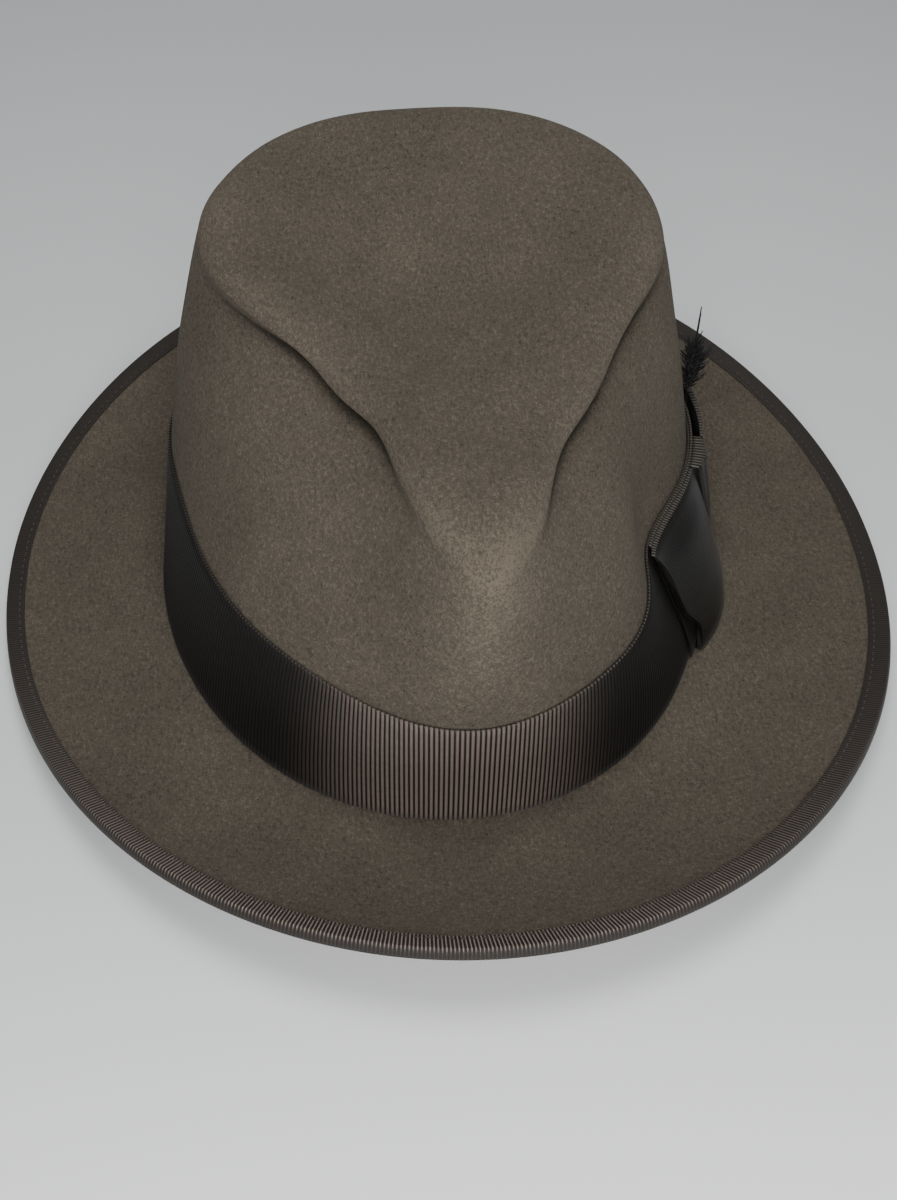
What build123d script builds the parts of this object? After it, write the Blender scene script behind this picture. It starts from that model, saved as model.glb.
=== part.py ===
from build123d import *
import os
from math import atan2, cos, degrees, exp, hypot, pi, radians, sin, sqrt, tanh

# A felt fedora hat: pinched teardrop crown, bound brim, grosgrain band with a flat bow and a feather.
# Millimetres. +Z is up, -Y is the front, +X is the wearer's left, where the bow is.
# The origin is on the table, under the middle of the brim's outline.

# ---- driving dimensions ----------------------------------------------------------------------------
CROWN_HALF_WIDTH = 88.0      # outside of the felt at the brim break, across
CROWN_FRONT = 108.6          # from the widest line to the front of the break
CROWN_BACK = 93.6             # from the widest line to the back of the break
WIDEST_Y = (CROWN_FRONT - CROWN_BACK) / 2
CROWN_SHIFT_X = -4.5         # the crown sits a little to the wearer's right of the brim's middle
CROWN_TOP = 110.0            # height at which the next two apply in full
SQUARE_BACK = 0.60           # how much squarer the top's outline is than the break's ellipse
BACK_LEAN = 2.5              # how far the top's back leans to the wearer's left
NOSE_TURN = radians(4.6)     # the nose points a little to the wearer's left

BRIM_WIDTH = 52.3            # from the break to the cut edge, level distance
BRIM_EXTRA_ENDS = -1.2       # narrower at front and back, wider at the sides, by this much
BRIM_EDGE_MEAN = 11.5        # mean height of the edge over the break
BRIM_EDGE_ENDS = 9.0         # higher at front and back, lower at the sides, by this much
BRIM_CURL = 1.7              # power of the brim's upward curve

FELT = 2.2                   # felt thickness
RIBBON = 0.7                 # grosgrain thickness
BAND_HEIGHT = 38.0
BINDING_WIDTH = 6.5          # how far the edge ribbon laps onto the felt, top and bottom
GAP = 0.2                    # air between neighbouring layers
LINING = 0.5
LEATHER = 1.2
SWEATBAND_TOP = 45.0
REED_RADIUS = 0.9
PIPING_RADIUS = 0.6
THREAD_RADIUS = 0.25
FLOOR = FELT - 0.05          # lifts the model so that the brim break's underside is just under z = 0

# Pinch of the crown's front sides, and the hollow that the hand has left over the bow's front loop.
PINCH_NOSE = 15.5            # degrees from the nose over which the pinch comes in
PINCH_WIDEN = 13.0           # more degrees at the break, where the nose is broader
PINCH_END = 91.0             # degrees from the front where it has half gone, at the break
PINCH_FADE = 10.5
PINCH_SPREAD, PINCH_SOFTEN = 7.0, 3.0                    # how much further back and softer it ends at the top
PINCH_MEAN, PINCH_SKEW = 1.135, 0.195
HOLLOW_DEPTH, HOLLOW_ANGLE = 13.0, 54.0
HOLLOW_TO_FRONT, HOLLOW_TO_BACK = 15.0, 24.0             # its spread in degrees
HOLLOW_HEIGHT, HOLLOW_RISE = 42.0, 28.0

# Crown stations from the break to the middle of the top. Each: share of the outline that is left,
# inset, heights at front, side and back over the break, and depth of the pinch.
STATIONS = [
    (1.00, 0.0, 0.0, 0.0, 0.0, 0.000),       # brim break
    (1.00, 0.6, 20.0, 20.0, 20.0, 0.050),    # middle of the band
    (1.00, 1.6, 38.0, 38.0, 38.0, 0.107),    # top edge of the band
    (1.00, 3.5, 57.0, 60.0, 63.0, 0.207),
    (1.00, 6.5, 72.0, 78.0, 88.0, 0.328),
    (1.00, 9.0, 81.0, 90.5, 102.0, 0.450),   # the crease
    (1.00, 11.5, 84.5, 93.6, 109.5, 0.432),  # outer edge of the top's rolled border
    (1.00, 18.5, 88.5, 97.2, 115.0, 0.415),  # crest of the border
    (1.00, 32.0, 91.0, 98.6, 112.5, 0.400),
    (0.62, 33.0, 90.5, 95.0, 102.0, 0.360),  # the dish
    (0.32, 33.0, 90.0, 91.5, 94.0, 0.200),
    (0.00, 33.0, 90.0, 90.0, 90.0, 0.000),   # middle of the top
]
BAND_STATION = 2
POLE_STATION = len(STATIONS) - 1

RING_POINTS = 60             # points of each closed curve round the hat
STEP = 1e-3                  # for the numeric tangents


# ---- the felt's shape as a formula -------------------------------------------------------------------
def outline(t, square=0.0):
    """Radius of the crown's outline from its widest line, t radians from the front."""
    power = 2 + square
    length = CROWN_FRONT if cos(t) > 0 else CROWN_BACK
    return (abs(sin(t) / CROWN_HALF_WIDTH) ** power + abs(cos(t) / length) ** power) ** (-1 / power)


def turn_from_front(t):
    """The angle t in degrees, from -180 to 180."""
    return degrees((t + pi) % (2 * pi) - pi)


def pinch(t, rise):
    """Share of the pinch at an angle: none at the nose and the back, all on the front sides."""
    angle = turn_from_front(t)
    side = tanh(angle / 30)
    nose = 1 - exp(-abs(angle / (PINCH_NOSE + side + PINCH_WIDEN * (1 - rise) ** 2)) ** 1.85)
    middle = PINCH_END + PINCH_SPREAD * rise ** 2 * (1 - side) / 2
    end = 1 / (1 + exp((abs(angle) - middle) / (PINCH_FADE + PINCH_SOFTEN * rise ** 2)))
    return nose * end * (PINCH_MEAN - PINCH_SKEW * side)


def hollow(t, height):
    """Depth of the hollow over the bow's front loop."""
    across = turn_from_front(t) - HOLLOW_ANGLE
    across /= HOLLOW_TO_FRONT if across < 0 else HOLLOW_TO_BACK
    up = (height - HOLLOW_HEIGHT) / HOLLOW_RISE
    return HOLLOW_DEPTH * exp(-across ** 2 - up ** 2)


def station(s):
    """Catmull-Rom curve through the station values, at s counted in stations."""
    i = min(int(s), POLE_STATION - 1)
    u = s - i
    last = POLE_STATION
    a, b, c, d = (STATIONS[min(max(k, 0), last)] for k in (i - 1, i, i + 1, i + 2))
    if i == 0:
        a = tuple(2 * p - q for p, q in zip(b, c))
    if i == last - 1:
        d = (-b[0],) + b[1:]
    return [q + 0.5 * u * (r - p + u * (2 * p - 5 * q + 4 * r - v + u * (3 * (q - r) + v - p)))
            for p, q, r, v in zip(a, b, c, d)]


def crown(t, s):
    """A point of the felt's outer surface, s stations up from the break."""
    share, inset, front, side, back, depth = station(s)
    c = cos(t)
    height = side + (front - back) / 2 * c + ((front + back) / 2 - side) * c * c
    rise = height / CROWN_TOP
    radius = outline(t, SQUARE_BACK * rise) - inset
    radius = share * (radius * (1 - depth * pinch(t - NOSE_TURN * rise, rise)) - hollow(t, height))
    lean = BACK_LEAN * rise * abs(rise) * (1 - c) / 2
    return (CROWN_SHIFT_X + lean + radius * sin(t), WIDEST_Y - radius * c, height)


def brim(t, u):
    """A point of the brim's upper surface, from the break (u = 0) to the cut edge (u = 1)."""
    radius = outline(t) - (1 - u) * hollow(t, 0)
    x, y = radius * sin(t), -radius * cos(t)
    length = CROWN_FRONT if cos(t) > 0 else CROWN_BACK
    nx, ny = x / CROWN_HALF_WIDTH ** 2, y / length ** 2
    size = hypot(nx, ny)
    out = u * (BRIM_WIDTH + BRIM_EXTRA_ENDS * cos(2 * t)) / size
    height = (BRIM_EDGE_MEAN + BRIM_EDGE_ENDS * cos(2 * t)) * abs(u) ** BRIM_CURL
    return (CROWN_SHIFT_X * (1 - u) + x + nx * out, WIDEST_Y + y + ny * out, height)


def offset(surface, t, s, depth):
    """The point of a surface, moved in by depth along its normal, and lifted to stand on the floor."""
    p = Vector(*surface(t, s))
    along = Vector(*surface(t + STEP, s)) - Vector(*surface(t - STEP, s))
    up = Vector(*surface(t, s + STEP)) - Vector(*surface(t, s - STEP))
    normal = along.cross(up).normalized()
    return p - normal * depth + Vector(0, 0, FLOOR)


def crown_point(t, s, depth=0.0):
    """A point at a depth inside the crown's outer surface; a negative depth is outside it."""
    if s >= POLE_STATION:
        x, y, z = crown(t, s)
        return Vector(x, y, z - depth + FLOOR)
    return offset(crown, t, s, depth)


def brim_point(t, u, depth=0.0):
    """A point at a depth under the brim's upper surface."""
    return offset(lambda a, v: brim(a, -v), t, -u, depth)


def band_station(height):
    """Station of a height on the wall, between the break and the band's top edge."""
    return BAND_STATION * height / BAND_HEIGHT


# ---- solids from rings -------------------------------------------------------------------------------
def ring(point):
    """A closed curve round the hat through point(t)."""
    return Edge.make_spline([point(2 * pi * k / RING_POINTS) for k in range(RING_POINTS)], periodic=True)


def tube_of_rings(rings):
    """A closed ring-shaped solid: each ring is joined to the next, and the last to the first."""
    faces = [Face.make_surface_from_curves(a, b) for a, b in zip(rings, rings[1:] + rings[:1])]
    solid = Solid(Shell(faces))
    return solid if solid.volume > 0 else Solid(Shell([-f for f in faces]))


def dome_of_rings(top, rings, under):
    """A closed dome: from a top point down over the rings and back up to a point underneath."""
    return Solid.make_loft([Vertex(*top)] + [Wire([r]) for r in rings] + [Vertex(*under)], ruled=True)


def cord_of_rings(centre, radius, sides=8):
    """A closed cord of a small radius along centre(t), which gives a point and its outward direction."""
    def at(angle):
        def point(t):
            p, out = centre(t)
            return p + out * (radius * cos(angle)) + Vector(0, 0, radius * sin(angle))
        return point
    return tube_of_rings([ring(at(2 * pi * k / sides)) for k in range(sides)])


# ---- felt, band and binding --------------------------------------------------------------------------
def flat_foot(t):
    """The inner edge of the flat ring under the break, on which the hat stands."""
    p = crown_point(t, 0, FELT)
    return Vector(p.X, p.Y, FLOOR - FELT)


def make_felt():
    """Crown and brim as one shell of felt."""
    crown_steps = [k / 2 for k in range(2 * POLE_STATION)]
    brim_steps = [k / 5 for k in range(6)]
    outer = [ring(lambda t, s=s: crown_point(t, s)) for s in reversed(crown_steps)]
    upper = [ring(lambda t, u=u: brim_point(t, u)) for u in brim_steps[1:]]
    under = [ring(lambda t, u=u: brim_point(t, u, FELT)) for u in reversed(brim_steps)]
    foot = [ring(lambda t: flat_foot(t))]
    inner = [ring(lambda t, s=s: crown_point(t, s, FELT)) for s in crown_steps]
    top, below = crown_point(0, POLE_STATION), crown_point(0, POLE_STATION, FELT)
    shell = dome_of_rings(top, outer + upper + under + foot + inner, below)
    table = Solid.make_box(400, 400, 5).moved(Location((-200, -200, -5)))
    return (shell - table).solid()


def wall_band(low, high, near, far, steps=12):
    """A strip that follows the crown's wall from station low to high, between two depths."""
    stations = [low + (high - low) * k / steps for k in range(steps + 1)]
    outer = [ring(lambda t, s=s: crown_point(t, s, near)) for s in stations]
    inner = [ring(lambda t, s=s: crown_point(t, s, far)) for s in reversed(stations)]
    return tube_of_rings(outer + inner)


def make_ribbon_band():
    """The wide ribbon round the foot of the crown."""
    return wall_band(band_station(0.6), BAND_STATION, -GAP - RIBBON, -GAP)


def make_brim_binding():
    """The ribbon folded over the brim's cut edge."""
    lap = 1 - BINDING_WIDTH / BRIM_WIDTH
    clear, skin = GAP / BRIM_WIDTH, (GAP + RIBBON) / BRIM_WIDTH
    contour = [(lap, -GAP - RIBBON), (1.0, -GAP - RIBBON), (1 + skin, 0.4), (1 + skin, FELT - 0.4),
               (1.0, FELT + GAP + RIBBON), (lap, FELT + GAP + RIBBON),
               (lap, FELT + GAP), (1 + clear, FELT + GAP), (1 + clear, -GAP), (lap, -GAP)]
    return tube_of_rings([ring(lambda t, u=u, d=d: brim_point(t, u, d)) for u, d in contour])


def make_binding_thread():
    """The line of stitching just inside the binding's edge."""
    u = 1 - (BINDING_WIDTH - 1.5) / BRIM_WIDTH
    depth = -GAP - RIBBON - THREAD_RADIUS - 0.05

    def centre(t):
        p = brim_point(t, u, depth)
        return p, Vector(p.X, p.Y, 0).normalized()
    return cord_of_rings(centre, THREAD_RADIUS, 6)


# ---- what is inside the crown ------------------------------------------------------------------------
LINING_DEPTH = FELT + 0.3
SWEATBAND_DEPTH = LINING_DEPTH + LINING + 0.3
SWEATBAND_FOOT = 0.18        # stations up from the break
SWEATBAND_HEAD = BAND_STATION + (SWEATBAND_TOP - BAND_HEIGHT) / 21
LINING_STATIONS = [1 + k / 2 for k in range(11)]         # the wall's, from behind the sweatband up
TIP_STATIONS = [6.75 + k / 2 for k in range(9)]          # the top's, from the seam to near the middle
SEAM_STATION = 6.3


def wall_cord(s, depth, radius):
    """A cord round the inside of the crown, at a station and a depth."""
    def centre(t):
        p = crown_point(t, s, depth)
        return p, Vector(p.X, p.Y, 0).normalized()
    return cord_of_rings(centre, radius)


def make_sweatband():
    """The leather band that touches the head."""
    return wall_band(SWEATBAND_FOOT, SWEATBAND_HEAD, SWEATBAND_DEPTH, SWEATBAND_DEPTH + LEATHER)


def make_sweatband_reed():
    """The corded tape under the sweatband's lower edge."""
    return wall_cord(band_station(1.6), SWEATBAND_DEPTH + 0.4, REED_RADIUS)


def make_sweatband_thread():
    """The stitches along the sweatband's lower edge."""
    depth = SWEATBAND_DEPTH + LEATHER + THREAD_RADIUS + 0.05
    return wall_cord(SWEATBAND_FOOT + 0.1, depth, THREAD_RADIUS)


def make_lining_side():
    """The satin wall between the sweatband and the lining's top."""
    outer = [ring(lambda t, s=s: crown_point(t, s, LINING_DEPTH)) for s in LINING_STATIONS]
    inner = [ring(lambda t, s=s: crown_point(t, s, LINING_DEPTH + LINING)) for s in reversed(LINING_STATIONS)]
    return tube_of_rings(outer + inner)


def make_lining_tip():
    """The satin top of the lining."""
    upper = [ring(lambda t, s=s: crown_point(t, s, LINING_DEPTH)) for s in reversed(TIP_STATIONS)]
    lower = [ring(lambda t, s=s: crown_point(t, s, LINING_DEPTH + LINING)) for s in TIP_STATIONS]
    top = crown_point(0, POLE_STATION, LINING_DEPTH)
    return dome_of_rings(top, upper + lower, crown_point(0, POLE_STATION, LINING_DEPTH + LINING))


def make_lining_piping():
    """The cord in the seam between the lining's wall and its top."""
    return wall_cord(SEAM_STATION, LINING_DEPTH + LINING + PIPING_RADIUS - 0.1, PIPING_RADIUS)


# ---- bow and feather ---------------------------------------------------------------------------------
def wall_point(angle, height, distance):
    """A point at an angle in degrees, a height over the break and a distance out from the felt."""
    s = band_station(height)
    for _ in range(3):
        s += band_station(height + FLOOR - crown_point(radians(angle), s, -distance).Z)
    p = crown_point(radians(angle), s, -distance)
    return Vector(p.X, p.Y, height + FLOOR)


def panel(start, end, low, high, near, far, across=12, levels=12):
    """A closed panel on the wall from one angle to another, in degrees, and one height to another.

    near and far give its two faces' distances out from the felt at (share along, share up).
    """
    def row(height, distance, up, shares):
        return [wall_point(start + (end - start) * share, height, distance(share, up)) for share in shares]

    shares = [k / across for k in range(across + 1)]
    wires = []
    for level in range(levels):
        up = level / (levels - 1)
        height = low + (high - low) * up
        outer = row(height, far, up, shares)
        inner = row(height, near, up, shares)
        wires.append(Wire([Edge.make_spline(outer), Edge.make_line(outer[-1], inner[-1]),
                           Edge.make_spline(inner[::-1]), Edge.make_line(inner[0], outer[0])]))
    return Solid.make_loft(wires, ruled=True)


BOW_LOW, BOW_HIGH = 1.0, BAND_HEIGHT + 0.5
BOW_FRONT, BOW_MIDDLE, BOW_REAR = 50.0, 88.0, 128.0     # degrees from the front
KNOT_HALF = 5.0                                          # degrees
STRIP_NEAR = 2 * GAP + RIBBON + 0.1
STRIP_FAR = STRIP_NEAR + RIBBON
LOOP_NEAR = STRIP_FAR + GAP
REAR_LOW, REAR_HIGH = 1.0, 3.4                           # the quill's channel behind the rear loop
KNOT_FAR = LOOP_NEAR + 6.5


def make_bow_back_strip():
    """The flat layer of ribbon that carries the bow."""
    return panel(BOW_FRONT + 3, BOW_REAR - 3, BOW_LOW, BAND_HEIGHT - 0.5,
                 lambda a, v: STRIP_NEAR, lambda a, v: STRIP_FAR, across=24)


def make_bow_front_loop():
    """The folded loop towards the front, fullest near the knot."""
    return panel(BOW_FRONT, BOW_MIDDLE - KNOT_HALF - 0.4, BOW_LOW, BOW_HIGH,
                 lambda a, v: LOOP_NEAR, lambda a, v: LOOP_NEAR + 1.5 + 4.0 * sin(pi * a) ** 0.8 if 0 < a < 1
                 else LOOP_NEAR + 1.5)


def make_bow_rear_loop():
    """The folded loop towards the back; it stands off the strip, and the quill goes behind it."""
    def near(v):
        return LOOP_NEAR + REAR_LOW + (REAR_HIGH - REAR_LOW) * v
    return panel(BOW_MIDDLE + KNOT_HALF + 0.4, BOW_REAR, BOW_LOW, BOW_HIGH,
                 lambda a, v: near(v), lambda a, v: near(v) + 1.5 + 2.0 * sin(pi * min(max(a, 0), 1)))


def make_bow_knot():
    """The short wrap across the middle of the bow."""
    return panel(BOW_MIDDLE - KNOT_HALF, BOW_MIDDLE + KNOT_HALF, BOW_LOW, BOW_HIGH,
                 lambda a, v: LOOP_NEAR, lambda a, v: KNOT_FAR - 2.0 * (2 * a - 1) ** 2, across=6)


def rod(start, end, radius):
    """A round rod between two points."""
    return Solid.make_cylinder(radius, (end - start).length, Plane(origin=start, z_dir=end - start))


def make_bow_tack_threads():
    """Four thread bars that hold the knot's edges, over and under the bow."""
    tacks = []
    for height in (BOW_LOW + 3, BOW_HIGH - 4):
        for angle in (BOW_MIDDLE - 2.5, BOW_MIDDLE + 1.0):
            far = KNOT_FAR + 0.4
            tacks.append(rod(wall_point(angle, height, far), wall_point(angle + 1.5, height, far), THREAD_RADIUS))
    return Compound(tacks)


QUILL_RADIUS = 0.7
QUILL_FOOT = wall_point(107, 12, STRIP_FAR + 0.5 + QUILL_RADIUS)
QUILL_AIM = Vector(-0.015, 0.03, 1).normalized()
QUILL_LENGTH = 45.0
VANE_START, VANE_LENGTH, VANE_WIDTH, VANE_THICK = 29.0, 14.0, 4.0, 0.6
VANE_SIDE = Vector(0.866, -0.5, 0).cross(QUILL_AIM).normalized()
VANE_FACE = VANE_SIDE.cross(QUILL_AIM).normalized()


def along_quill(length):
    """The point at a length along the quill's axis."""
    return QUILL_FOOT + QUILL_AIM * length


def make_feather_quill():
    """The shaft, from behind the rear loop to the tip."""
    return rod(along_quill(0), along_quill(QUILL_LENGTH), QUILL_RADIUS)


def make_feather_vane():
    """The web on both sides of the shaft, with room for the shaft itself."""
    def place(length, side):
        return along_quill(length) + VANE_SIDE * side
    end = VANE_START + VANE_LENGTH
    edge = [place(VANE_START, 0), place(VANE_START + 5, VANE_WIDTH * 0.8), place(VANE_START + 11, VANE_WIDTH),
            place(end, 1.5), place(end, -1.5), place(VANE_START + 11, -VANE_WIDTH),
            place(VANE_START + 5, -VANE_WIDTH * 0.8)]
    face = Face(Wire.make_polygon(edge, close=True))
    blade = Solid.extrude(face, VANE_FACE * VANE_THICK).moved(Location(VANE_FACE * (-VANE_THICK / 2)))
    groove = rod(along_quill(VANE_START - 5), along_quill(end + 5), QUILL_RADIUS + 0.05)
    return Compound((blade - groove).solids())


def make_feather_barbs():
    """Loose barbs that fan out round the shaft's tip, each standing clear of it."""
    barbs = []
    for side, rise, length in ((1.4, 1.0, 8), (-1.4, 1.5, 11), (2.8, 0.0, 7), (-2.8, 0.0, 6), (0.0, 3.5, 10)):
        foot = along_quill(VANE_START + VANE_LENGTH + 1.0 + rise) + VANE_SIDE * side
        aim = (QUILL_AIM + VANE_SIDE * (side * 0.12)).normalized()
        cone = Solid.make_cone(0.55, 0.15, length, Plane(origin=foot, z_dir=aim))
        barbs.append(cone)
    return Compound(barbs)


def make_sweatband_bow():
    """The tiny ribbon bow at the sweatband's rear seam."""
    p = crown_point(pi, band_station(20), SWEATBAND_DEPTH + LEATHER + 1.2)
    loops = [Solid.make_box(6, 1.4, 5).moved(Location(p + Vector(x, -0.7, -2.5))) for x in (-7.2, 1.2)]
    knot = Solid.make_box(2.0, 1.6, 4).moved(Location(p + Vector(-1.0, -0.8, -2.0)))
    return Compound(loops + [knot])


MAKERS = {
    "felt_body": make_felt,
    "ribbon_band": make_ribbon_band,
    "brim_binding": make_brim_binding,
    "binding_thread": make_binding_thread,
    "sweatband": make_sweatband,
    "sweatband_reed": make_sweatband_reed,
    "sweatband_thread": make_sweatband_thread,
    "sweatband_bow": make_sweatband_bow,
    "lining_side": make_lining_side,
    "lining_tip": make_lining_tip,
    "lining_piping": make_lining_piping,
    "bow_back_strip": make_bow_back_strip,
    "bow_front_loop": make_bow_front_loop,
    "bow_rear_loop": make_bow_rear_loop,
    "bow_knot": make_bow_knot,
    "bow_tack_threads": make_bow_tack_threads,
    "feather_quill": make_feather_quill,
    "feather_vane": make_feather_vane,
    "feather_barbs": make_feather_barbs,
}

os.makedirs("parts", exist_ok=True)
for name, make in MAKERS.items():
    piece = make()
    box = piece.bounding_box()
    print(f"{name:18s} volume {piece.volume:10.1f}  x {box.min.X:7.1f} {box.max.X:7.1f}"
          f"  y {box.min.Y:7.1f} {box.max.Y:7.1f}  z {box.min.Z:6.1f} {box.max.Z:6.1f}")
    export_step(piece, f"parts/{name}.step")
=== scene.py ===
"""A felt fedora hat: blocked felt body, ribbed ribbon band, bound brim, bow, feather, sweatband and lining.

The shapes are worked out in millimetres, with +Z up, -Y the front and +X the wearer's left, and made in metres.
"""

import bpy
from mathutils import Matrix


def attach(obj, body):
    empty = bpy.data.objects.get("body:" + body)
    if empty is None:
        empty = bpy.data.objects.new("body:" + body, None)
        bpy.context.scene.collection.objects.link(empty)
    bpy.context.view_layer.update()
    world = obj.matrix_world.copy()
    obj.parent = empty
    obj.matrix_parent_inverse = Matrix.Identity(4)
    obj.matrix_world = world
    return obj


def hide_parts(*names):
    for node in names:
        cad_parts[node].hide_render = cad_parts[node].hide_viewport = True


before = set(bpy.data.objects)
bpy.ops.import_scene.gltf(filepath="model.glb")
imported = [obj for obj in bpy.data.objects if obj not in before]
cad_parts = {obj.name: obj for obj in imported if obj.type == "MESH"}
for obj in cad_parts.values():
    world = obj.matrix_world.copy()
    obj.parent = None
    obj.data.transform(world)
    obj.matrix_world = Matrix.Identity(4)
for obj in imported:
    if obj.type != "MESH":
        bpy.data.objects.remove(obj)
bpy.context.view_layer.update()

import logging
import math
from dataclasses import dataclass, field
from enum import Enum
from typing import Callable, Optional, Sequence, Union

import bmesh
import bpy
import numpy as np
from mathutils import Matrix, Vector, noise

MM = 0.001
LOG = logging.getLogger("fedora")
Array = np.ndarray
Colour = tuple[float, float, float]
Place = Callable[[Array, Array], Array]


class Body(Enum):
    """The rigid bodies of the hat."""

    HAT = "hat"
    FEATHER = "feather"


class Hold(Enum):
    """How a sheet of cloth is held."""

    STRETCHED = "stretched"
    FOLDED = "folded"
    GATHERED = "gathered"


# ---- shader maths -------------------------------------------------------------------------------------
Input = Union[float, "Signal", bpy.types.NodeSocket, Sequence[float]]


class Signal:
    """A number socket in a material; arithmetic on it adds Math nodes."""

    def __init__(self, bench: "Bench", socket: bpy.types.NodeSocket) -> None:
        """Wraps one output socket."""
        self.bench = bench
        self.socket = socket

    def _pair(self, operation: str, first: Input, second: Input) -> "Signal":
        """One Math node of two inputs."""
        return self.bench.math(operation, first, second)

    def __add__(self, other: Input) -> "Signal":
        """self + other"""
        return self._pair("ADD", self, other)

    def __radd__(self, other: Input) -> "Signal":
        """other + self"""
        return self._pair("ADD", other, self)

    def __sub__(self, other: Input) -> "Signal":
        """self - other"""
        return self._pair("SUBTRACT", self, other)

    def __rsub__(self, other: Input) -> "Signal":
        """other - self"""
        return self._pair("SUBTRACT", other, self)

    def __mul__(self, other: Input) -> "Signal":
        """self * other"""
        return self._pair("MULTIPLY", self, other)

    def __rmul__(self, other: Input) -> "Signal":
        """other * self"""
        return self._pair("MULTIPLY", other, self)

    def __truediv__(self, other: Input) -> "Signal":
        """self / other"""
        return self._pair("DIVIDE", self, other)

    def __pow__(self, other: Input) -> "Signal":
        """self ** other"""
        return self._pair("POWER", self, other)

    def __gt__(self, other: Input) -> "Signal":
        """1 where self is more than other, else 0."""
        return self._pair("GREATER_THAN", self, other)

    def __lt__(self, other: Input) -> "Signal":
        """1 where self is less than other, else 0."""
        return self._pair("LESS_THAN", self, other)

    def __abs__(self) -> "Signal":
        """The size of the value."""
        return self.bench.math("ABSOLUTE", self)


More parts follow.
